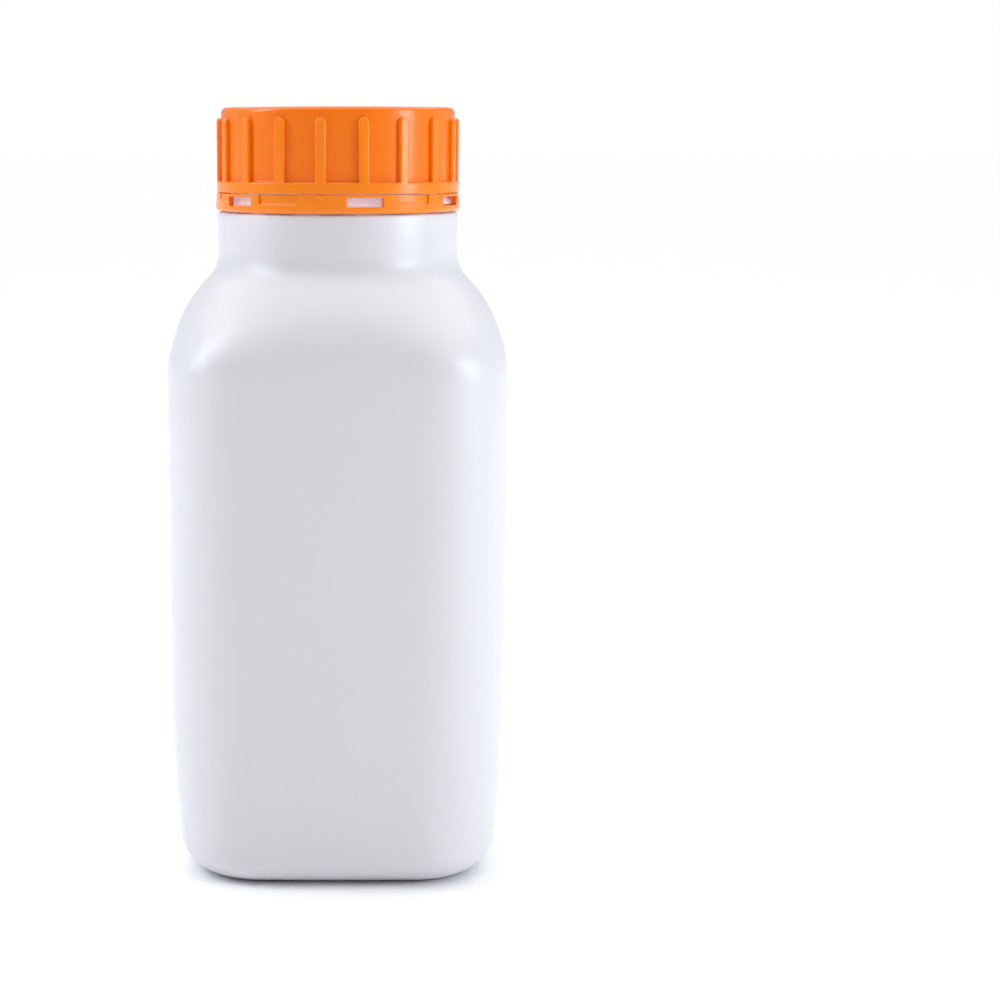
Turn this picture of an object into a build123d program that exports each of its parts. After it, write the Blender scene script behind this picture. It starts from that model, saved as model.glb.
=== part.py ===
from build123d import *

import math
import os

# Square one-litre media bottle with a tamper-evident screw cap. Millimetres, +Z up. The base stands
# on Z = 0, the bottle's axis is Z and one flat side faces -Y.

# ---------------------------------------------------------------- bottle: body
body_width = 88.0  # across the flats
body_corner_radius = 23.5  # plan radius of the upright corners
side_arc_half_angle = 2.0  # degrees of slight crown on each flat side, either way from its middle
wall = 1.4  # blown wall, body and shoulder
foot_draw_height = 55.0  # the sides start to draw in below this height
foot_draw_radius = 450.0  # radius of that long gentle curve
foot_edge_radius = 10.0  # rounding between side and base
push_up_radius = 27.0  # rim of the recess under the base, inside the flat standing ring
push_up_depth = 3.0
push_up_flank = 5.0  # width of the recess's sloping rim
pinch_off_width = 1.2  # closed weld line of the blown tube, across the recess
pinch_off_height = 0.5

# ---------------------------------------------------------------- bottle: shoulder and collar
shoulder_start = 131.6  # height where the sides begin to turn in
shoulder_radius = 32.0  # convex part of the shoulder's profile
collar_root_radius = 8.5  # concave part, where the shoulder runs up into the collar
collar_height = 11.0  # upright part of the collar, up to the step under the band
collar_edge_bevel = 0.6
neck_arc_half_angle = 22.5  # degrees: where side and corner arcs meet once both have become the round collar

# ---------------------------------------------------------------- bottle: finish
finish_height = 24.8  # from the step to the sealing lip
finish_root_radius = 27.7
finish_wall = 1.8  # between finish and bore
lip_bevel = 0.5
finish_bevel = 1.0  # inside corner between finish and step
bead_height = 2.0  # radial: the ring that holds the tamper band down
bead_underside = 2.1  # above the step
bead_land = 0.5
bead_ramp = 2.2
thread_pitch = 5.0
thread_height = 1.3
thread_root_width = 2.6
thread_crest_width = 1.0
thread_turns = 2.0
thread_start = 9.4  # centre of the thread's lower end, above the step
thread_sink = 0.5  # how far the thread's section reaches into the wall that carries it
vent_width = 3.0  # flats across the thread at the two parting lines

# ---------------------------------------------------------------- clearances
thread_clearance = 0.35  # crest to root, both ways, neck to cap
seal_clearance = 0.25  # plug to bore
lip_gap = 0.3  # lip to the cap's roof
band_foot_gap = 0.3  # band to the collar's step
slit = 0.5  # between cap and band, before the bridges are broken
bridge_gap = 0.05  # broken face of each bridge to the skirt
band_proud = 0.25  # band beyond the cap's belt
collar_inset = 0.6  # collar inside the band

# ---------------------------------------------------------------- screw cap
roof_thickness = 1.65
skirt_wall = 1.1
cap_edge_radius = 1.5
cap_edge_facets = 3  # flats that make up that rounding
rib_count = 18
rib_phase = 12.0  # degrees from the front, towards +X
rib_height = 1.2
rib_width = 2.8
rib_edge_bevel = 0.45
rib_top_facets = 6  # flats that make up its round top
rib_top_drop = 2.65  # the ribs' rounded tops, below the top of the cap
belt_height = 2.9
belt_proud = 0.1  # belt beyond the ribs
belt_edge_bevel = 0.35
plug_depth = 5.0
plug_wall = 1.2
plug_nose = 0.5
skirt_lead_in = 0.5
thread_flank_clearance = 0.3  # along the axis, the cap's thread under the neck's, as when screwed tight
cap_thread_turns = 1.6
cap_thread_phase = 150.0  # degrees round the cap, from +X, of the lower end of its thread
cap_thread_fade_radius = 24.0  # radius of the cutter that runs the cap's thread out into the wall
gate_radius = 2.5  # sunk injection point in the middle of the roof
gate_depth = 0.4

# ---------------------------------------------------------------- tamper band
band_height = 4.3
band_wall = 1.4
band_edge_radius = 0.9
band_edge_facets = 2  # flats that make up that rounding
window_angles = (-52.0, 12.5, 66.0)  # degrees from the front, towards +X; again half a turn round
window_width = 17.0  # degrees
window_height = 2.3
window_sill = 1.65  # above the band's foot
panel_offset = 23.5  # degrees past each window
panel_width = 20.0  # degrees
panel_depth = 0.5
panel_sill = 2.05  # above the band's foot: outer edge of the sloping ledge
panel_ledge = 0.6  # height of that slope
bridge_offset = 43.5  # degrees past each window
bridge_width = 2.0  # degrees
bridge_radial = 0.8
nub_radius = 0.7  # raised dot below each bridge
nub_proud = 0.25
nub_sides = 8
nub_taper = 30.0  # degrees its sides slope in
lug_count = 12
lug_width = 18.0  # degrees
lug_height = 1.4
lug_clearance = 1.0  # lug to the finish

# ---------------------------------------------------------------- ruled bands that make up the body's curves
foot_edge_bands = 4
foot_draw_bands = 3
shoulder_bands = 6
collar_root_bands = 4

# ---------------------------------------------------------------- heights and radii that follow
half_width = body_width / 2
bore_radius = finish_root_radius - finish_wall
thread_crest_radius = finish_root_radius + thread_height
skirt_inner_radius = thread_crest_radius + thread_clearance
skirt_outer_radius = skirt_inner_radius + skirt_wall
rib_crest_radius = skirt_outer_radius + rib_height
belt_radius = rib_crest_radius + belt_proud
band_radius = belt_radius + band_proud
band_inner_radius = band_radius - band_wall
collar_radius = band_radius - collar_inset
shoulder_sum = shoulder_radius + collar_root_radius
shoulder_run = collar_radius + collar_root_radius - half_width + shoulder_radius
collar_foot = shoulder_start + math.sqrt(shoulder_sum**2 - shoulder_run**2)
shoulder_angle = math.atan2(collar_foot - shoulder_start, shoulder_run)
step = collar_foot + collar_height
lip = step + finish_height
roof = lip + lip_gap
cap_top = roof + roof_thickness
band_foot = step + band_foot_gap
band_top = band_foot + band_height
skirt_foot = band_top + slit
TOUCH = 0.01  # how near an edge lies to the place it is picked by


def at_angle(shape, degrees):
    """Turn a shape that was made facing the front (-Y) towards +X."""
    return Rot(0, 0, degrees) * shape


def arc_point(centre, radius, degrees):
    """A point on an arc in the XY plane."""
    turn = math.radians(degrees)
    return Vector(centre[0] + radius * math.cos(turn), centre[1] + radius * math.sin(turn))


def section(height, reach, corner, junction):
    """Plan outline at one height: four crowned sides and four corners, every arc tangent to the next.

    reach is from the axis to the middle of a side, corner the corner arc's radius, and junction the angle
    in degrees of the normal where side and corner meet. On the collar both arcs have the same radius.
    """
    turn = math.radians(junction)
    share = math.cos(turn) - math.sin(turn)
    side = (reach - corner * share) / (1 - share)
    corner_centre = (side - corner) * math.sin(turn)
    edges = []
    for quarter in range(4):
        side_arc = [arc_point((reach - side, 0), side, a) for a in (-junction, 0, junction)]
        middle = (corner_centre, corner_centre)
        corner_arc = [arc_point(middle, corner, a) for a in (junction, 45, 90 - junction)]
        for points in (side_arc, corner_arc):
            edges.append(ThreePointArc(*[p.rotate(Axis.Z, 90 * quarter) for p in points]))
    return Pos(0, 0, height) * make_face(edges)


def drawn_in_foot(inset):
    """Lower body: the sides draw in on a long gentle arc, and the foot's edge is rounded.

    The two arcs are tangent, so the edge's centre lies on the long arc's radius at the angle lean.
    """
    centre_gap = foot_draw_radius - foot_edge_radius
    drop = foot_draw_height - foot_edge_radius
    lean = math.asin(drop / centre_gap)
    draw_centre = half_width - foot_draw_radius
    edge_centre = draw_centre + centre_gap * math.cos(lean)
    levels = []
    for number in range(foot_edge_bands + 1):
        turn = math.pi / 2 + (lean - math.pi / 2) * number / foot_edge_bands
        edge = foot_edge_radius - inset
        levels.append((foot_edge_radius - edge * math.sin(turn), edge_centre + edge * math.cos(turn)))
    for number in range(1, foot_draw_bands + 1):
        turn = lean * (1 - number / foot_draw_bands)
        draw = foot_draw_radius - inset
        levels.append((foot_draw_height - draw * math.sin(turn), draw_centre + draw * math.cos(turn)))
    faces = []
    for height, reach in levels:
        corner = body_corner_radius - (half_width - reach)
        faces.append(section(height, reach, corner, side_arc_half_angle))
    return loft(faces, ruled=True)


def shoulder(inset):
    """Upper body: square to round on a convex arc, then a concave one up into the collar."""
    levels = []
    for number in range(shoulder_bands + 1):
        turn = shoulder_angle * number / shoulder_bands
        radius = shoulder_radius - inset
        reach = half_width - shoulder_radius + radius * math.cos(turn)
        levels.append((shoulder_start + radius * math.sin(turn), reach))
    for number in range(1, collar_root_bands + 1):
        turn = shoulder_angle * (1 - number / collar_root_bands)
        radius = collar_root_radius + inset
        reach = collar_radius + collar_root_radius - radius * math.cos(turn)
        levels.append((collar_foot - radius * math.sin(turn), reach))
    faces = []
    for height, reach in levels:
        share = (height - shoulder_start) / (collar_foot - shoulder_start)
        blend = share * share * (3 - 2 * share)
        corner = body_corner_radius + (collar_radius - body_corner_radius) * blend
        junction = side_arc_half_angle + (neck_arc_half_angle - side_arc_half_angle) * blend
        faces.append(section(height, reach, corner - inset, junction))
    return loft(faces, ruled=True)


def body_skin(inset):
    """The body up to the collar, every surface set in by inset."""
    plan = section(foot_draw_height, half_width - inset, body_corner_radius - inset, side_arc_half_angle)
    upright = extrude(plan, amount=shoulder_start - foot_draw_height)
    return drawn_in_foot(inset) + upright + shoulder(inset)


def spun(points):
    """Solid of revolution about Z from (radius, height) points."""
    outline = Polyline([(r, 0, z) for r, z in points], close=True)
    return revolve(make_face(outline), Axis.Z)


def helical_thread(root, crest, turns, centre_height, phase):
    """A ridge on a helix about Z from radius root to radius crest, with its foot sunk in the wall."""
    path = Helix(thread_pitch, thread_pitch * turns, root, center=(0, 0, centre_height))
    outward = 1 if crest > root else -1
    start = Plane(origin=path @ 0, x_dir=(outward, 0, 0), z_dir=path % 0)
    sink_width = thread_root_width + thread_sink * (thread_root_width - thread_crest_width) / thread_height
    outline = Polyline(
        [
            (-thread_sink, -sink_width / 2),
            (thread_height, -thread_crest_width / 2),
            (thread_height, thread_crest_width / 2),
            (-thread_sink, sink_width / 2),
        ],
        close=True,
    )
    ridge = sweep(start * make_face(outline), path=path, is_frenet=True)
    return Rot(0, 0, phase) * ridge


def push_up(inset):
    """Plug in the shape of the recess under the base, or with inset of the floor above it."""
    top = push_up_depth + inset
    spread = inset * math.tan(math.atan2(push_up_flank, push_up_depth) / 2)
    outline = [
        (0, -push_up_depth),
        (push_up_radius + push_up_flank + spread, -push_up_depth),
        (push_up_radius - push_up_flank + spread, top),
        (0, top),
    ]
    return spun(outline)


def rounding(radius, height, edge, count):
    """Points round the outer corner at (radius, height): edge is its radius, negative for a lower corner."""
    points = []
    for number in range(count + 1):
        turn = math.pi / 2 * number / count
        reach = radius - abs(edge) * (1 - math.cos(turn))
        points.append((reach, height - edge * (1 - math.sin(turn))))
    return points if edge > 0 else points[::-1]


def finish_outline():
    """Half section of collar, step, band-holding bead and bare finish, outside only."""
    bead_foot = step + bead_underside
    bead_radius = finish_root_radius + bead_height
    return [
        (0, collar_foot),
        (collar_radius, collar_foot),
        (collar_radius, step - collar_edge_bevel),
        (collar_radius - collar_edge_bevel, step),
        (finish_root_radius + finish_bevel, step),
        (finish_root_radius, step + finish_bevel),
        (finish_root_radius, bead_foot),
        (bead_radius, bead_foot),
        (bead_radius, bead_foot + bead_land),
        (finish_root_radius, bead_foot + bead_land + bead_ramp),
        (finish_root_radius, lip - lip_bevel),
        (finish_root_radius - lip_bevel, lip),
        (0, lip),
    ]


def bottle_thread():
    """External thread: both ends run out on flats, and the parting lines leave two vents in it."""
    lower = step + thread_start
    ridge = helical_thread(finish_root_radius, thread_crest_radius, thread_turns, lower, 0)
    run_out = math.degrees(math.acos(finish_root_radius / thread_crest_radius))
    margin = thread_height
    reach = thread_crest_radius + margin
    cutter = Box(margin + thread_height, 2 * reach * math.sin(math.radians(run_out)), thread_pitch)
    cutter = Pos(finish_root_radius + (margin + thread_height) / 2, 0, 0) * cutter
    ridge -= Pos(0, 0, lower) * cutter
    ridge -= Pos(0, 0, lower + thread_pitch * thread_turns) * Rot(0, 0, 360 * thread_turns) * cutter
    vent = Box(4 * thread_crest_radius, vent_width, 4 * thread_pitch * thread_turns)
    vent -= Cylinder(finish_root_radius, 4 * thread_pitch * thread_turns)
    return ridge - Pos(0, 0, lower) * vent


def make_bottle():
    """One blown piece: square body, shoulder, collar and threaded finish, with its real wall."""
    outside = body_skin(0) + spun(finish_outline())
    outside += bottle_thread()
    outside -= push_up(0)

    neck_inside = [
        (0, collar_foot),
        (collar_radius - wall, collar_foot),
        (collar_radius - wall, step - wall - (collar_radius - wall - bore_radius) / 2),
        (bore_radius, step - wall),
        (bore_radius, lip + wall),
        (0, lip + wall),
    ]
    inside = body_skin(wall) + spun(neck_inside)
    inside -= push_up(wall)
    bottle = outside - inside
    reach = push_up_radius - push_up_flank
    weld = Box(2 * reach, pinch_off_width, pinch_off_height + wall / 2)
    return bottle + Pos(0, 0, push_up_depth - pinch_off_height / 2 + wall / 4) * weld


def edges_at(shape, height, radius):
    """The circular edges about Z at one height and radius."""
    circles = shape.edges().filter_by(GeomType.CIRCLE)
    level = circles.filter_by(lambda e: abs(e.center(CenterOf.BOUNDING_BOX).Z - height) < TOUCH)
    return level.filter_by(lambda e: abs(e.radius - radius) < TOUCH)


def sector(points, middle, width):
    """Part of a solid of revolution: (radius, height) points, width degrees about the angle middle."""
    outline = Polyline([(0, -r, z) for r, z in points], close=True)
    return at_angle(revolve(make_face(outline), Axis.Z, width), middle - width / 2)


def block(inner, outer, low, high):
    """Rectangle in (radius, height), for spun or sector."""
    return [(inner, low), (outer, low), (outer, high), (inner, high)]


def make_rib():
    """One grip rib facing the front: round-topped, with its outer edges bevelled."""
    low = skirt_foot + belt_height / 2
    centre = cap_top - rib_top_drop - rib_width / 2
    front = Plane(origin=(0, -rib_crest_radius, 0), x_dir=(1, 0, 0), z_dir=(0, -1, 0))
    points = [(rib_width / 2, low)]
    for number in range(rib_top_facets + 1):
        turn = math.pi * number / rib_top_facets
        points.append((rib_width / 2 * math.cos(turn), centre + rib_width / 2 * math.sin(turn)))
    points.append((-rib_width / 2, low))
    outline = make_face(Polyline(*points, close=True))
    rib = extrude(front * outline, amount=-(rib_height + skirt_wall / 2))
    outer_edges = rib.edges().filter_by(lambda e: abs(e.center().Y + rib_crest_radius) < TOUCH)
    upper = outer_edges.filter_by(lambda e: e.center().Z > low + TOUCH)
    return chamfer(upper, rib_edge_bevel)


def cap_thread():
    """Internal thread, run out into the wall at both ends by an off-centre cylinder."""
    mid_width = (thread_root_width + thread_crest_width) / 2
    under = mid_width + thread_flank_clearance
    lower = step + thread_start + thread_pitch * cap_thread_phase / 360 - under
    ridge = helical_thread(
        skirt_inner_radius,
        skirt_inner_radius - thread_height,
        cap_thread_turns,
        lower,
        cap_thread_phase,
    )
    cutter = Cylinder(cap_thread_fade_radius, thread_pitch)
    cutter = Pos(skirt_inner_radius - cap_thread_fade_radius, 0, 0) * cutter
    for turns in (0, cap_thread_turns):
        height = lower + thread_pitch * turns
        ridge -= Pos(0, 0, height) * Rot(0, 0, cap_thread_phase + 360 * turns) * cutter
    return ridge


def make_cap():
    """Injection-moulded screw cap: ribbed skirt on a plain belt, thread and plug seal inside."""
    belt_top = skirt_foot + belt_height
    outline = [
        (0, skirt_foot),
        (belt_radius, skirt_foot),
        (belt_radius, belt_top - belt_edge_bevel),
        (belt_radius - belt_edge_bevel, belt_top),
        (skirt_outer_radius, belt_top),
        *rounding(skirt_outer_radius, cap_top, cap_edge_radius, cap_edge_facets),
        (0, cap_top),
    ]
    shell = spun(outline)
    rib = make_rib()
    for number in range(rib_count):
        shell += at_angle(rib, rib_phase + 360 * number / rib_count)
    shell -= spun(block(0, skirt_inner_radius, skirt_foot, roof))
    shell = chamfer(edges_at(shell, skirt_foot, skirt_inner_radius), skirt_lead_in)
    shell += cap_thread()
    plug_radius = bore_radius - seal_clearance
    plug = spun(block(plug_radius - plug_wall, plug_radius, roof - plug_depth, roof + roof_thickness / 2))
    shell += chamfer(edges_at(plug, roof - plug_depth, plug_radius), plug_nose)
    return shell - spun(block(0, gate_radius, cap_top - gate_depth, cap_top + gate_depth))


def make_band():
    """Ring left on the neck at first opening: windows, sunk panels, broken bridges and holding lugs."""
    outline = [
        (band_inner_radius, band_foot),
        *rounding(band_radius, band_foot, -band_edge_radius, band_edge_facets),
        (band_radius, band_top),
        (band_inner_radius, band_top),
    ]
    band = spun(outline)
    past = band_radius + band_wall
    window_foot = band_foot + window_sill
    window = block(band_inner_radius - band_wall, past, window_foot, window_foot + window_height)
    sill = band_foot + panel_sill
    panel = [
        (band_radius - panel_depth, sill + panel_ledge),
        (past, sill - panel_ledge * band_wall / panel_depth),
        (past, band_top + slit),
        (band_radius - panel_depth, band_top + slit),
    ]
    bridge_middle = (band_radius + band_inner_radius) / 2
    bridge = block(
        bridge_middle - bridge_radial / 2,
        bridge_middle + bridge_radial / 2,
        band_top - slit,
        skirt_foot - bridge_gap,
    )
    nub_centre = (0, nub_proud - band_radius, band_top - 2 * nub_radius)
    front = Plane(origin=nub_centre, x_dir=(1, 0, 0), z_dir=(0, -1, 0))
    nub = extrude(front * RegularPolygon(nub_radius, nub_sides), amount=2 * nub_proud, taper=nub_taper)
    for angle in window_angles:
        for face in (angle, angle + 180):
            band -= sector(window, face, window_width)
            band -= sector(panel, face + panel_offset, panel_width)
            band += sector(bridge, face + bridge_offset, bridge_width)
            band += at_angle(nub, face + bridge_offset)
    lug_radius = finish_root_radius + lug_clearance
    lug = [
        (lug_radius, band_foot),
        (band_inner_radius + band_wall / 4, band_foot),
        (band_inner_radius + band_wall / 4, band_foot + lug_height / 2),
        (lug_radius, band_foot + lug_height),
    ]
    for number in range(lug_count):
        band += sector(lug, 360 * number / lug_count, lug_width)
    return band


os.makedirs("parts", exist_ok=True)
pieces = {"bottle": make_bottle(), "screw_cap": make_cap(), "tamper_band": make_band()}
for name, piece in pieces.items():
    export_step(piece, f"parts/{name}.step")
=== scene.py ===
import math

import bpy
from mathutils import Matrix, Vector


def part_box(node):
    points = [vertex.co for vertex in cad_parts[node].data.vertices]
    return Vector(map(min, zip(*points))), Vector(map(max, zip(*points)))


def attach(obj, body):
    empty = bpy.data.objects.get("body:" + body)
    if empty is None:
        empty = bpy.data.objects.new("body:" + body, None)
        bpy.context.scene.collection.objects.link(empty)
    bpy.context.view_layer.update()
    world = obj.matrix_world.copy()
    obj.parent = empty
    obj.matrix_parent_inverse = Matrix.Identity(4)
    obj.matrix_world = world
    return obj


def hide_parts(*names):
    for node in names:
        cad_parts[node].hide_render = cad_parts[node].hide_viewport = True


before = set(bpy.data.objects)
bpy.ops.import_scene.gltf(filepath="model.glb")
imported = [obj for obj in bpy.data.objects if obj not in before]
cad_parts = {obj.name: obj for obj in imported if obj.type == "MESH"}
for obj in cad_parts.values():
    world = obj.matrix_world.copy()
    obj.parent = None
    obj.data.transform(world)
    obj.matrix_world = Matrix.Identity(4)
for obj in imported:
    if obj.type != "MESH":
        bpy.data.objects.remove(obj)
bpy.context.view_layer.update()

# ------------------------------------------------------------------ stage
# A sheet of pale board under the bottle, and the camera: it stands in front of a flat side, as high as
# the cap, and looks a little down. The bottle is left of the middle of its frame.
MM = 0.001
lens_place = (0.0, -580.34 * MM, 191.02 * MM)
lens_tilt = 0.164  # radians below level
lens_length = 78.81  # mm, on a sensor 36 mm wide
frame_shift = 0.1621  # of the frame's width
board_size = 40.0
board_white = (0.98, 0.98, 0.98, 1)

bpy.ops.object.select_all(action="DESELECT")
bpy.ops.object.camera_add(location=lens_place, rotation=(math.pi / 2 - lens_tilt, 0, 0))
camera = bpy.context.object
camera.data.sensor_width = 36
camera.data.lens = lens_length
camera.data.shift_x = frame_shift
camera.data.clip_end = 100
bpy.context.scene.camera = camera
bpy.context.scene.view_settings.view_transform = "Standard"

bpy.ops.mesh.primitive_plane_add(size=board_size, location=(0, 0, 0))
board = bpy.context.object
board.name = "floor"
board_paint = bpy.data.materials.new("pale_board")
board_paint.use_nodes = True
board_shader = board_paint.node_tree.nodes["Principled BSDF"]
board_shader.inputs["Base Color"].default_value = board_white
board_shader.inputs["Roughness"].default_value = 0.5
board.data.materials.append(board_paint)

# ------------------------------------------------------------------ studio light
# Two tall soft boxes stand at the sides: the left one is higher, the right one stands further to the
# front. A broad scrim hangs overhead, a little behind the bottle, and lights the board as well.
box_centre = Vector((0, 0, 141 * MM))
box_distance = 850 * MM
box_colour = (0.84, 0.98, 1.02)
soft_boxes = [
    # name, degrees from the front towards +X, degrees above level, width, height, radiance
    ("left_box", -85, 31, 180 * MM, 580 * MM, 8.6),
    ("right_box", 68, 15, 240 * MM, 430 * MM, 9.0),
]
for name, turn, rise, width, height, radiance in soft_boxes:
    aim = Matrix.Rotation(math.radians(turn), 3, "Z") @ Matrix.Rotation(math.radians(-rise), 3, "X")
    aim = aim @ Vector((0, -1, 0))
    bpy.ops.object.light_add(type="AREA", location=box_centre + box_distance * aim)
    lamp = bpy.context.object
    lamp.name = name
    lamp.data.shape = "RECTANGLE"
    lamp.data.size = width
    lamp.data.size_y = height
    lamp.data.energy = math.pi * width * height * radiance
    lamp.data.color = box_colour
    lamp.rotation_euler = aim.to_track_quat("Z", "Y").to_euler()

scrim_place = (0, 0.3, 1.5)
scrim_tilt = math.radians(-12)
scrim_spread = math.radians(100)
bpy.ops.object.light_add(type="SUN", location=scrim_place, rotation=(scrim_tilt, 0, 0))
overhead = bpy.context.object
overhead.name = "overhead_scrim"
overhead.data.energy = 2.55
overhead.data.color = (1.01, 1.0, 1.0)
overhead.data.angle = scrim_spread

# Round the bottle the room is paler behind it than on the camera's side. The camera itself sees white.
room_front = (0.165, 0.10, 0.11, 1)
room_back = (0.33, 0.37, 0.41, 1)
room_turns_pale = (-1.0, 0.2)  # from full front to full back, as a direction's part along Y
world = bpy.data.worlds.new("studio_room")
world.use_nodes = True
bpy.context.scene.world = world
room = world.node_tree
lit = room.nodes["Background"]
seen = room.nodes.new("ShaderNodeBackground")
seen.inputs["Color"].default_value = (1, 1, 1, 1)
way = room.nodes.new("ShaderNodeTexCoord")
parts = room.nodes.new("ShaderNodeSeparateXYZ")
room.links.new(way.outputs["Generated"], parts.inputs[0])
depth = room.nodes.new("ShaderNodeMapRange")
depth.interpolation_type = "SMOOTHSTEP"
depth.inputs["From Min"].default_value = room_turns_pale[0]
depth.inputs["From Max"].default_value = room_turns_pale[1]
room.links.new(parts.outputs["Y"], depth.inputs["Value"])
tone = room.nodes.new("ShaderNodeMix")
tone.data_type = "RGBA"
tone.inputs[6].default_value = room_front
tone.inputs[7].default_value = room_back
room.links.new(depth.outputs["Result"], tone.inputs[0])
room.links.new(tone.outputs[2], lit.inputs["Color"])
path = room.nodes.new("ShaderNodeLightPath")
choice = room.nodes.new("ShaderNodeMixShader")
room.links.new(path.outputs["Is Camera Ray"], choice.inputs[0])
room.links.new(lit.outputs[0], choice.inputs[1])
room.links.new(seen.outputs[0], choice.inputs[2])
room.links.new(choice.outputs[0], room.nodes["World Output"].inputs["Surface"])

# ------------------------------------------------------------------ bottle
# One blown piece of natural HDPE: a square body with crowned flats, a shoulder that turns into a round
# collar, and the moulded finish with its bead and thread. The skin follows the real wall inside and out.
bottle_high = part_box("bottle")[1]
half_width = bottle_high[0]
lip = bottle_high[2]
collar_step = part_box("tamper_band")[0][2] - 0.3 * MM
wall = 1.4 * MM
body_corner = 23.5 * MM
side_crown = math.radians(2.0)
draw_height = 55.0 * MM
draw_radius = 450.0 * MM
foot_edge = 10.0 * MM
recess_rim = 27.0 * MM
recess_flank = 5.0 * MM
recess_depth = 3.0 * MM
shoulder_foot = 131.6 * MM
shoulder_radius = 32.0 * MM
root_radius = 8.5 * MM
collar_radius = 31.4 * MM
collar_foot = collar_step - 11.0 * MM
finish_radius = 27.7 * MM
bore_radius = 25.9 * MM
bead_radius = finish_radius + 2.0 * MM
bead_foot = collar_step + 2.1 * MM
bead_edge = bead_foot + 0.5 * MM
bead_top = bead_foot + 2.7 * MM
arc_points = 16  # points along each side and each corner of a ring
round_junction = math.radians(22.5)
foot_steps = 10
draw_steps = 8
side_steps = 6
shoulder_steps = 18
root_steps = 10


def plan(reach, corner, junction):
    """The points of one ring: four crowned sides and four corners, tangent where they meet."""
    share = math.cos(junction) - math.sin(junction)
    side = (reach - corner * share) / (1 - share)
    middle = (side - corner) * math.sin(junction)
    quarter = []
    for number in range(arc_points):
        turn = junction * (2 * number / arc_points - 1)
        quarter.append(Vector((reach - side + side * math.cos(turn), side * math.sin(turn))))
    for number in range(arc_points):
        turn = junction + (math.pi / 2 - 2 * junction) * number / arc_points
        quarter.append(Vector((middle + corner * math.cos(turn), middle + corner * math.sin(turn))))
    ring = []
    for number in range(4):
        ring += [Matrix.Rotation(number * math.pi / 2, 2) @ point for point in quarter]
    return ring


def round_ring(radius, height):
    return height, plan(radius, radius, round_junction)


def softened(corners, steps=4):
    """An outline of (radius, height, rounding) corners as points, each corner turned into an arc."""
    points = []
    for number, (radius, height, rounding) in enumerate(corners):
        corner = Vector((radius, height))
        if rounding == 0:
            points.append(corner)
            continue
        before = (Vector(corners[number - 1][:2]) - corner).normalized()
        after = (Vector(corners[number + 1][:2]) - corner).normalized()
        half = before.angle(after) / 2
        centre = corner + (before + after).normalized() * rounding / math.sin(half)
        start = corner + before * rounding / math.tan(half) - centre
        end = corner + after * rounding / math.tan(half) - centre
        points += [centre + rounding * start.slerp(end, step / steps) for step in range(steps + 1)]
    return points


def ring_stack(name, rings):
    """A skin through rings of points: a circle is extruded ring by ring, then takes each ring's plan."""
    count = len(rings[0][1])
    bpy.ops.object.select_all(action="DESELECT")
    bpy.ops.mesh.primitive_circle_add(vertices=count, radius=1, fill_type="NOTHING")
    piece = bpy.context.object
    piece.name = name
    bpy.ops.object.mode_set(mode="EDIT")
    for _ in rings[1:]:
        bpy.ops.mesh.extrude_region_move(TRANSFORM_OT_translate={"value": (0, 0, 1)})
    bpy.ops.object.mode_set(mode="OBJECT")
    for point in piece.data.vertices:
        height, ring = rings[round(point.co.z)]
        turn = math.atan2(point.co.y, point.co.x)
        place = ring[round(turn / math.tau * count) % count]
        point.co = (place.x, place.y, height)
    return piece


def body_rings(inset):
    """Rings of the blown body from the foot's flat to the collar, all set in by inset."""
    gap = draw_radius - foot_edge
    lean = math.asin((draw_height - foot_edge) / gap)
    draw_centre = half_width - draw_radius
    edge_centre = draw_centre + gap * math.cos(lean)
    levels = []
    for step in range(foot_steps + 1):
        turn = math.pi / 2 + (lean - math.pi / 2) * step / foot_steps
        edge = foot_edge - inset
        levels.append((foot_edge - edge * math.sin(turn), edge_centre + edge * math.cos(turn)))
    for step in range(1, draw_steps + 1):
        turn = lean * (1 - step / draw_steps)
        draw = draw_radius - inset
        levels.append((draw_height - draw * math.sin(turn), draw_centre + draw * math.cos(turn)))
    for step in range(1, side_steps):
        levels.append((draw_height + (shoulder_foot - draw_height) * step / side_steps, half_width - inset))
    rings = []
    for height, reach in levels:
        rings.append((height, plan(reach, body_corner - half_width + reach, side_crown)))

    span = shoulder_radius + root_radius
    run = collar_radius + root_radius - half_width + shoulder_radius
    rise = math.acos(run / span)
    levels = []
    for step in range(shoulder_steps + 1):
        turn = rise * step / shoulder_steps
        radius = shoulder_radius - inset
        levels.append(
            (shoulder_foot + radius * math.sin(turn), half_width - shoulder_radius + radius * math.cos(turn))
        )
    for step in range(1, root_steps + 1):
        turn = rise * (1 - step / root_steps)
        radius = root_radius + inset
        levels.append(
            (collar_foot - radius * math.sin(turn), collar_radius + root_radius - radius * math.cos(turn))
        )
    for height, reach in levels:
        share = (height - shoulder_foot) / (collar_foot - shoulder_foot)
        blend = share * share * (3 - 2 * share)
        corner = body_corner + (collar_radius - body_corner) * blend - inset
        junction = side_crown + (round_junction - side_crown) * blend
        rings.append((height, plan(reach, corner, junction)))
    return rings


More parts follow.
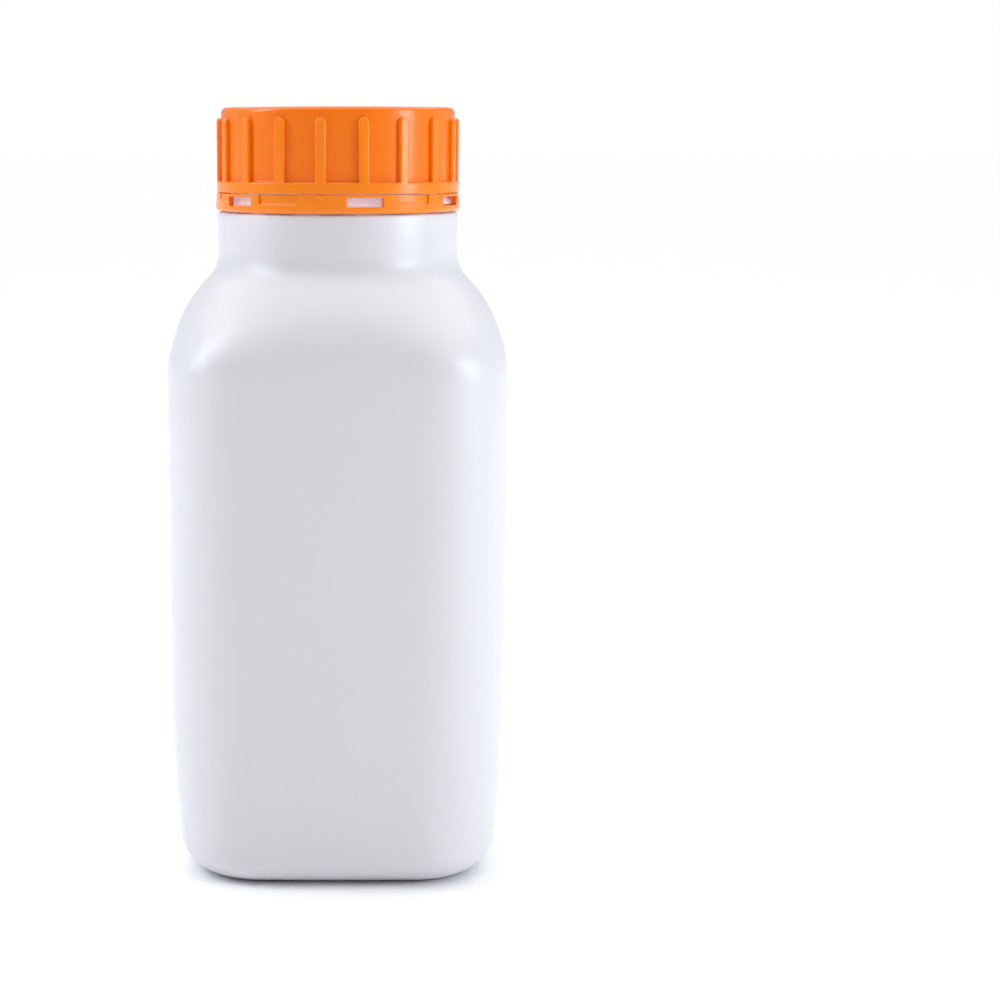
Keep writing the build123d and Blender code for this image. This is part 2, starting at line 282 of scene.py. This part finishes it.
recess = softened(
    [
        (recess_rim - 2 * recess_flank, recess_depth, 0),
        (recess_rim - recess_flank, recess_depth, 2.0 * MM),
        (recess_rim, 0, 1.5 * MM),
        (recess_rim + recess_flank / 2, 0, 0),
    ]
)
finish = softened(
    [
        (collar_radius, collar_foot + 2 * MM, 0),
        (collar_radius, collar_step, 0.7 * MM),
        (finish_radius, collar_step, 0.8 * MM),
        (finish_radius, bead_foot, 0),
        (bead_radius, bead_foot, 0.2 * MM),
        (bead_radius, bead_edge, 0.2 * MM),
        (finish_radius, bead_top, 0.6 * MM),
        (finish_radius, lip, 0.5 * MM),
        (bore_radius, lip, 0.4 * MM),
        (bore_radius, collar_step - wall, 1.0 * MM),
        (collar_radius - wall, collar_step - wall - 2.05 * MM, 2.0 * MM),
        (collar_radius - wall, collar_foot + 1 * MM, 0),
    ]
)
floor_inside = softened(
    [
        (recess_rim + recess_flank / 2, wall, 0),
        (recess_rim + 0.4 * MM, wall, 1.5 * MM),
        (recess_rim - recess_flank + 0.4 * MM, recess_depth + wall, 2.0 * MM),
        (recess_rim - 2 * recess_flank, recess_depth + wall, 0),
    ]
)
rings = [round_ring(*point) for point in recess]
rings += body_rings(0)
rings += [round_ring(*point) for point in finish]
rings += reversed(body_rings(wall))
rings += [round_ring(*point) for point in floor_inside]
bottle = ring_stack("bottle_shell", rings)


def close_ends():
    """Fills the open ends of the active piece and turns its faces outwards."""
    bpy.ops.object.mode_set(mode="EDIT")
    bpy.ops.mesh.select_all(action="DESELECT")
    bpy.ops.mesh.select_non_manifold()
    bpy.ops.mesh.edge_face_add()
    bpy.ops.mesh.select_all(action="SELECT")
    bpy.ops.mesh.normals_make_consistent(inside=False)
    bpy.ops.object.mode_set(mode="OBJECT")


close_ends()


class Term:
    """A socket in a sum of shader values: the operators add Math nodes."""

    def __init__(self, finish, socket):
        self.finish = finish
        self.socket = socket

    def maths(self, operation, first, second):
        return self.finish.add("ShaderNodeMath", {"operation": operation}, {0: first, 1: second})

    def __add__(self, other):
        return self.maths("ADD", self, other)

    __radd__ = __add__

    def __mul__(self, other):
        return self.maths("MULTIPLY", self, other)

    __rmul__ = __mul__

    def __sub__(self, other):
        return self.maths("SUBTRACT", self, other)

    def __rsub__(self, other):
        return self.maths("SUBTRACT", other, self)


class Finish:
    """The material of one moulding: a Principled shader and the nodes that vary it."""

    def __init__(self, name, constants):
        self.material = bpy.data.materials.new(name)
        self.material.use_nodes = True
        self.nodes = self.material.node_tree.nodes
        self.links = self.material.node_tree.links
        self.shader = self.nodes["Principled BSDF"]
        for socket, value in constants.items():
            self.shader.inputs[socket].default_value = value

    def add(self, kind, settings, sockets, output=0):
        """One output of a new node of that kind, after its settings and its sockets' values or links."""
        node = self.nodes.new(kind)
        for setting, value in settings.items():
            setattr(node, setting, value)
        for socket, value in sockets.items():
            self.join(value, node.inputs[socket])
        return Term(self, node.outputs[output])

    def join(self, value, socket):
        """Links a Term to the socket, or sets the socket to a plain value."""
        if isinstance(value, Term):
            self.links.new(value.socket, socket)
        else:
            socket.default_value = value

    def drive(self, socket, value):
        """Feeds a value to the Principled shader's own socket."""
        self.join(value, self.shader.inputs[socket])


hdpe = Finish(
    "natural_hdpe",
    {
        "Base Color": (0.772, 0.74, 0.785, 1),
        "IOR": 1.53,
        "Specular IOR Level": 0.7,
        "Subsurface Weight": 0.5,
        "Subsurface Radius": (1.0, 1.0, 1.1),
        "Subsurface Scale": 4 * MM,
        "Emission Strength": 1.0,
    },
)
spot = hdpe.add("ShaderNodeTexCoord", {}, {}, "Object")
cloud = hdpe.add("ShaderNodeTexNoise", {}, {"Vector": spot, "Scale": 60, "Detail": 3, "Roughness": 0.5})
grain = hdpe.add("ShaderNodeTexNoise", {}, {"Vector": spot, "Scale": 900, "Detail": 2, "Roughness": 0.6})
across = hdpe.add("ShaderNodeSeparateXYZ", {}, {"Vector": spot}, "Y")
height = hdpe.add("ShaderNodeSeparateXYZ", {}, {"Vector": spot}, "Z")
seam = hdpe.add(
    "ShaderNodeMapRange",
    {"interpolation_type": "SMOOTHSTEP"},
    {"Value": across.maths("ABSOLUTE", across, 0), "From Max": 0.25 * MM, "To Min": 1, "To Max": 0},
)
hdpe.drive("Roughness", 0.34 + cloud * 0.06)

# Painted light: the strip of neck that the band always surrounds glows by emission, so that the wall
# behind the band's windows looks bright. The painted glow stands in for light that travels in the
# plastic from the collar up.
glow_foot = collar_step + 0.6 * MM
glow_full = collar_step + 1.2 * MM
glow_fades = collar_step + 4.4 * MM
glow_top = collar_step + 5.4 * MM
painted_glow_colour = (0.34, 0.31, 0.35, 1)
rising = hdpe.add(
    "ShaderNodeMapRange",
    {"interpolation_type": "SMOOTHSTEP"},
    {"Value": height, "From Min": glow_foot, "From Max": glow_full},
)
fading = hdpe.add(
    "ShaderNodeMapRange",
    {"interpolation_type": "SMOOTHSTEP"},
    {"Value": height, "From Min": glow_fades, "From Max": glow_top},
)
painted_glow = hdpe.add(
    "ShaderNodeMix",
    {"data_type": "RGBA"},
    {0: rising * (1 - fading), 6: (0, 0, 0, 1), 7: painted_glow_colour},
    2,
)
# The painted glow feeds the emission, only on the strip of neck behind the band.
hdpe.drive("Emission Color", painted_glow)

# The surface is fine-grained and a little cloudy, with the mould's parting as a faint line.
bump = hdpe.add(
    "ShaderNodeBump",
    {},
    {"Strength": 0.12, "Distance": 0.15 * MM, "Height": cloud * 0.7 + grain * 0.3 + seam * 0.5},
)
hdpe.drive("Normal", bump)


def swept(name, corners, angle, rise, steps):
    """A closed solid: an outline of (radius, height) corners, turned about Z from +X and raised meanwhile."""
    bpy.ops.object.select_all(action="DESELECT")
    bpy.ops.mesh.primitive_circle_add(vertices=len(corners), radius=1, fill_type="NOTHING")
    piece = bpy.context.object
    piece.name = name
    for point, (radius, height) in zip(piece.data.vertices, corners):
        point.co = (radius, 0, height)
    turning = piece.modifiers.new("turning", "SCREW")
    turning.angle = angle
    turning.screw_offset = rise
    turning.steps = steps
    turning.render_steps = steps
    bpy.ops.object.modifier_apply(modifier="turning")
    close_ends()
    return piece


# The thread is one ridge that fades out at both ends, and the bottle's is flat at the mould's parting.
thread_pitch = 5.0 * MM
thread_height = 1.3 * MM
thread_crest_half = 0.5 * MM
thread_foot_half = 1.3 * MM
thread_sink = 0.5 * MM
thread_start = collar_step + 9.4 * MM
thread_turns = 2
steps_a_turn = 96
fade_turn = math.radians(16)
faded_height = 0.35  # what is left of the ridge where it has faded out
vent_turn = math.radians(3)


def thread_ridge(name, root, outward, start, turns, phase, vents):
    """A ridge on a right-handed helix about Z. outward is 1 on the bottle and -1 inside the cap."""
    sunk = root - outward * thread_sink
    crest = root + outward * thread_height
    sunk_half = thread_foot_half + thread_sink * (thread_foot_half - thread_crest_half) / thread_height
    corners = [
        (sunk, start - sunk_half),
        (crest, start - thread_crest_half),
        (crest, start + thread_crest_half),
        (sunk, start + sunk_half),
    ]
    ridge = swept(name, corners, math.tau * turns, thread_pitch * turns, round(steps_a_turn * turns))
    for point in ridge.data.vertices:
        radius = math.hypot(point.co.x, point.co.y)
        turn = math.atan2(point.co.y, point.co.x)
        laps = round((point.co.z - start) / thread_pitch - turn / math.tau)
        along = turn + laps * math.tau
        keep = min(1, max(0, min(along, math.tau * turns - along) / fade_turn))
        if vents:
            off = abs(math.remainder(turn, math.pi))
            keep = min(keep, max(0, 2 * (off / vent_turn - 1)))
        reach = sunk + (radius - sunk) * (faded_height + (1 - faded_height) * keep)
        point.co.x *= reach / radius
        point.co.y *= reach / radius
    ridge.data.transform(Matrix.Rotation(phase, 4, "Z"))
    return ridge


def joined(piece, others):
    """Joins the others to the piece."""
    bpy.ops.object.select_all(action="DESELECT")
    for other in [piece, *others]:
        other.select_set(True)
    bpy.context.view_layer.objects.active = piece
    bpy.ops.object.join()


# The weld that the mould pinched shut runs across the recess in the base.
weld_length = 2 * (recess_rim - recess_flank)
weld_thickness = 1.2 * MM
weld_height = recess_depth + 0.1 * MM
weld_rounding = 0.2 * MM
bpy.ops.object.select_all(action="DESELECT")
bpy.ops.mesh.primitive_cube_add(
    size=1, location=(0, 0, weld_height), scale=(weld_length, weld_thickness, weld_thickness)
)
weld = bpy.context.object
bpy.ops.object.transform_apply()
bpy.ops.object.mode_set(mode="EDIT")
bpy.ops.mesh.bevel(offset=weld_rounding, segments=3, affect="EDGES")
bpy.ops.object.mode_set(mode="OBJECT")
neck_thread = thread_ridge("bottle_thread", finish_radius, 1, thread_start, thread_turns, 0, True)
joined(bottle, [weld, neck_thread])
smooth_angle = math.radians(35)
bpy.ops.object.shade_smooth_by_angle(angle=smooth_angle)

bottle.data.materials.append(hdpe.material)
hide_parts("bottle")
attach(bottle, "bottle")

# ------------------------------------------------------------------ screw cap
# Injection-moulded polypropylene in bright orange: a skirt with grip ribs that stand on a plain belt. The
# thread and the plug seal are inside, and the roof has the sunk mark of the mould's gate in its middle.
skirt_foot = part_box("screw_cap")[0][2]
cap_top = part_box("screw_cap")[1][2]
belt_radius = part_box("screw_cap")[1][0]
belt_top = skirt_foot + 2.9 * MM
rib_crest = belt_radius - 0.1 * MM
rib_height = 1.2 * MM
rib_width = 2.8 * MM
rib_count = 18
rib_phase = math.radians(12)
skirt_outer = rib_crest - rib_height
skirt_inner = skirt_outer - 1.1 * MM
roof = cap_top - 1.65 * MM
plug_outer = bore_radius - 0.25 * MM
plug_inner = plug_outer - 1.2 * MM
plug_foot = roof - 5.0 * MM
gate_radius = 2.5 * MM
gate_floor = cap_top - 0.4 * MM
cap_outline = softened(
    [
        (gate_radius / 2, gate_floor, 0),
        (gate_radius, gate_floor, 0.1 * MM),
        (gate_radius, cap_top, 0.1 * MM),
        (skirt_outer, cap_top, 1.3 * MM),
        (skirt_outer, belt_top, 0.4 * MM),
        (belt_radius, belt_top, 0.45 * MM),
        (belt_radius, skirt_foot, 0.15 * MM),
        (skirt_inner, skirt_foot, 0.4 * MM),
        (skirt_inner, roof, 0.5 * MM),
        (plug_outer, roof, 0.3 * MM),
        (plug_outer, plug_foot, 0.4 * MM),
        (plug_inner, plug_foot, 0.4 * MM),
        (plug_inner, roof, 0.5 * MM),
        (gate_radius / 2, roof, 0),
    ]
)
cap = ring_stack("cap_shell", [round_ring(*point) for point in cap_outline])
close_ends()

# One rib is a round plate pressed out of the skirt, with its lower half drawn down into the belt.
rib_sink = 0.5 * MM
rib_rounding = 0.6 * MM
rib_centre = cap_top - 2.65 * MM - rib_width / 2
rib_foot = belt_top - 0.4 * MM
bpy.ops.object.select_all(action="DESELECT")
bpy.ops.mesh.primitive_circle_add(
    vertices=24,
    radius=rib_width / 2,
    fill_type="NGON",
    location=(0, rib_sink - skirt_outer, rib_centre),
    rotation=(math.pi / 2, 0, 0),
)
rib = bpy.context.object
bpy.ops.object.transform_apply()
bpy.ops.object.mode_set(mode="EDIT")
bpy.ops.mesh.extrude_region_move(TRANSFORM_OT_translate={"value": (0, -rib_sink - rib_height, 0)})
bpy.ops.mesh.bevel(offset=rib_rounding, segments=4, affect="EDGES")
bpy.ops.mesh.select_all(action="SELECT")
bpy.ops.mesh.normals_make_consistent(inside=False)
bpy.ops.object.mode_set(mode="OBJECT")
for point in rib.data.vertices:
    if point.co.z < rib_centre - 0.01 * MM:
        point.co.z = rib_foot
ribs = []
for number in range(rib_count):
    copy = rib.copy()
    copy.data = rib.data.copy()
    copy.data.transform(Matrix.Rotation(rib_phase + math.tau * number / rib_count, 4, "Z"))
    bpy.context.collection.objects.link(copy)
    ribs.append(copy)
bpy.data.objects.remove(rib)

# The cap's thread lies just under the bottle's, so that it pulls the cap down when it is screwed on.
cap_thread_turns = 1.6
cap_thread_phase = math.radians(150)
cap_thread_drop = 2.1 * MM
cap_thread_start = thread_start + thread_pitch * cap_thread_phase / math.tau - cap_thread_drop
cap_thread = thread_ridge(
    "cap_thread", skirt_inner, -1, cap_thread_start, cap_thread_turns, cap_thread_phase, False
)
joined(ribs[0], ribs[1:])
fused = cap.modifiers.new("ribs", "BOOLEAN")
fused.object = ribs[0]
fused.operation = "UNION"
bpy.context.view_layer.objects.active = cap
bpy.ops.object.modifier_apply(modifier="ribs")
bpy.data.objects.remove(ribs[0])
joined(cap, [cap_thread])


def smooth_moulding(piece):
    """Smooth shading that keeps the flats flat beside their rounded edges."""
    bpy.ops.object.select_all(action="DESELECT")
    piece.select_set(True)
    bpy.context.view_layer.objects.active = piece
    bpy.ops.object.shade_smooth_by_angle(angle=smooth_angle)
    even = piece.modifiers.new("flat_faces", "WEIGHTED_NORMAL")
    even.keep_sharp = True
    bpy.ops.object.modifier_apply(modifier="flat_faces")


smooth_moulding(cap)

# Painted light and shade: the base colour is a yellower orange on the ribs' crests, painted for the light
# they catch, and a redder orange on the skirt between them, painted for the shade there.
shaded_panel_orange = (1.0, 0.195, 0.0, 1)
lit_rib_orange = (1.0, 0.235, 0.0, 1)
orange = Finish(
    "orange_pp",
    {
        "IOR": 1.49,
        "Specular IOR Level": 0.45,
        "Subsurface Weight": 0.2,
        "Subsurface Radius": (1.0, 0.35, 0.05),
        "Subsurface Scale": 2.5 * MM,
    },
)
place = orange.add("ShaderNodeTexCoord", {}, {}, "Object")
ripple = orange.add("ShaderNodeTexNoise", {}, {"Vector": place, "Scale": 140, "Detail": 2, "Roughness": 0.5})
grain = orange.add("ShaderNodeTexNoise", {}, {"Vector": place, "Scale": 1400, "Detail": 2, "Roughness": 0.6})
flat = orange.add("ShaderNodeVectorMath", {"operation": "MULTIPLY"}, {0: place, 1: (1, 1, 0)})
radius = orange.add("ShaderNodeVectorMath", {"operation": "LENGTH"}, {0: flat}, "Value")
crest = orange.add(
    "ShaderNodeMapRange",
    {"interpolation_type": "SMOOTHSTEP"},
    {"Value": radius, "From Min": skirt_outer, "From Max": rib_crest},
)
# The crest mask mixes the painted shade of the panels into the painted light of the ribs.
tone = orange.add("ShaderNodeMix", {"data_type": "RGBA"}, {0: crest, 6: shaded_panel_orange, 7: lit_rib_orange}, 2)
orange.drive("Base Color", tone)
orange.drive("Roughness", 0.17 + ripple * 0.10)
dent = orange.add(
    "ShaderNodeBump", {}, {"Strength": 0.15, "Distance": 0.1 * MM, "Height": ripple * 0.8 + grain * 0.2}
)
orange.drive("Normal", dent)
cap.data.materials.append(orange.material)
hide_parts("screw_cap")
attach(cap, "cap")

# ------------------------------------------------------------------ tamper band
# Moulded with the cap, of the same orange polypropylene, and held to it by six small bridges. It has
# windows, sunk panels with a sloping ledge, a dot under each bridge, and lugs inside that grip the neck.
band_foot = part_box("tamper_band")[0][2]
band_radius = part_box("tamper_band")[1][0]
band_top = skirt_foot - 0.2 * MM
band_wall = 1.4 * MM
band_inner = band_radius - band_wall
band_mid = (band_foot + band_top) / 2
band_outline = softened(
    [
        (band_inner, band_mid, 0),
        (band_inner, band_foot, 0.15 * MM),
        (band_radius, band_foot, 0.9 * MM),
        (band_radius, band_top, 0.12 * MM),
        (band_inner, band_top, 0.12 * MM),
        (band_inner, band_mid, 0),
    ]
)
band = ring_stack("band_ring", [round_ring(*point) for point in band_outline])
bpy.ops.object.mode_set(mode="EDIT")
bpy.ops.mesh.select_all(action="SELECT")
bpy.ops.mesh.remove_doubles(threshold=0.001 * MM)
bpy.ops.mesh.normals_make_consistent(inside=False)
bpy.ops.object.mode_set(mode="OBJECT")

# Angles and widths along the band are in degrees. A window's is counted from the front towards +X, and
# the panel and the bridge follow at their offsets. All of them come again half a turn round.
window_angles = (-52.0, 12.5, 66.0)
window_width = 17.0
window_foot = band_foot + 1.65 * MM
window_top = window_foot + 2.3 * MM
panel_offset = 23.5
panel_width = 20.0
panel_floor = band_radius - 0.5 * MM
panel_sill = band_foot + 2.05 * MM
panel_ledge = 0.6 * MM
bridge_offset = 43.5
bridge_width = 2.0
bridge_middle = (band_radius + band_inner) / 2
bridge_half = 0.4 * MM
bridge_root = band_top - 0.5 * MM
bridge_tip = skirt_foot - 0.05 * MM
nub_radius = 0.7 * MM
nub_proud = 0.25 * MM
nub_sink = 0.3 * MM
nub_height = band_top - 1.1 * nub_radius
nub_rounding = 0.2 * MM
past = band_radius + band_wall
above = band_top + band_wall
window = [
    (band_inner - band_wall, window_foot),
    (past, window_foot),
    (past, window_top),
    (band_inner - band_wall, window_top),
]
panel = [
    (panel_floor, panel_sill + panel_ledge),
    (past, panel_sill - panel_ledge * (past - band_radius) / (band_radius - panel_floor)),
    (past, above),
    (panel_floor, above),
]
bridge = [
    (bridge_middle - bridge_half, bridge_root),
    (bridge_middle + bridge_half, bridge_root),
    (bridge_middle + bridge_half, bridge_tip),
    (bridge_middle - bridge_half, bridge_tip),
]


def sector(name, corners, middle, width, steps=12):
    """A swept solid, width degrees about middle, which counts from the front towards +X."""
    piece = swept(name, corners, math.radians(width), 0, steps)
    piece.data.transform(Matrix.Rotation(math.radians(middle - 90 - width / 2), 4, "Z"))
    return piece


cutters = []
additions = []
for angle in window_angles:
    for face in (angle, angle + 180):
        cutters.append(sector("window", window, face, window_width))
        cutters.append(sector("panel", panel, face + panel_offset, panel_width))
        additions.append(sector("bridge", bridge, face + bridge_offset, bridge_width, 2))
        bpy.ops.object.select_all(action="DESELECT")
        bpy.ops.mesh.primitive_circle_add(
            vertices=16,
            radius=nub_radius,
            fill_type="NGON",
            location=(0, nub_sink - band_radius, nub_height),
            rotation=(math.pi / 2, 0, 0),
        )
        nub = bpy.context.object
        bpy.ops.object.transform_apply()
        bpy.ops.object.mode_set(mode="EDIT")
        bpy.ops.mesh.extrude_region_move(TRANSFORM_OT_translate={"value": (0, -nub_proud - nub_sink, 0)})
        bpy.ops.mesh.bevel(offset=nub_rounding, segments=3, affect="EDGES")
        bpy.ops.mesh.select_all(action="SELECT")
        bpy.ops.mesh.normals_make_consistent(inside=False)
        bpy.ops.object.mode_set(mode="OBJECT")
        nub.data.transform(Matrix.Rotation(math.radians(face + bridge_offset), 4, "Z"))
        additions.append(nub)

# The lugs reach in under the neck's bead, so that the band stays on when the bridges have broken.
lug_count = 12
lug_width = 18
lug_tip = bead_radius - 1.0 * MM
lug_root = band_inner + band_wall / 4
lug = [
    (lug_tip, band_foot),
    (lug_root, band_foot),
    (lug_root, band_foot + 0.7 * MM),
    (lug_tip, band_foot + 1.4 * MM),
]
for number in range(lug_count):
    additions.append(sector("lug", lug, 360 * number / lug_count, lug_width))
joined(cutters[0], cutters[1:])
cut = band.modifiers.new("cut", "BOOLEAN")
cut.object = cutters[0]
cut.operation = "DIFFERENCE"
soft = band.modifiers.new("soft_edges", "BEVEL")
soft.width = 0.1 * MM
soft.segments = 2
soft.limit_method = "ANGLE"
soft.angle_limit = math.radians(40)
bpy.context.view_layer.objects.active = band
for name in ("cut", "soft_edges"):
    bpy.ops.object.modifier_apply(modifier=name)
bpy.data.objects.remove(cutters[0])
joined(band, additions)
smooth_moulding(band)
band.data.materials.append(orange.material)
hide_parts("tamper_band")
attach(band, "band")
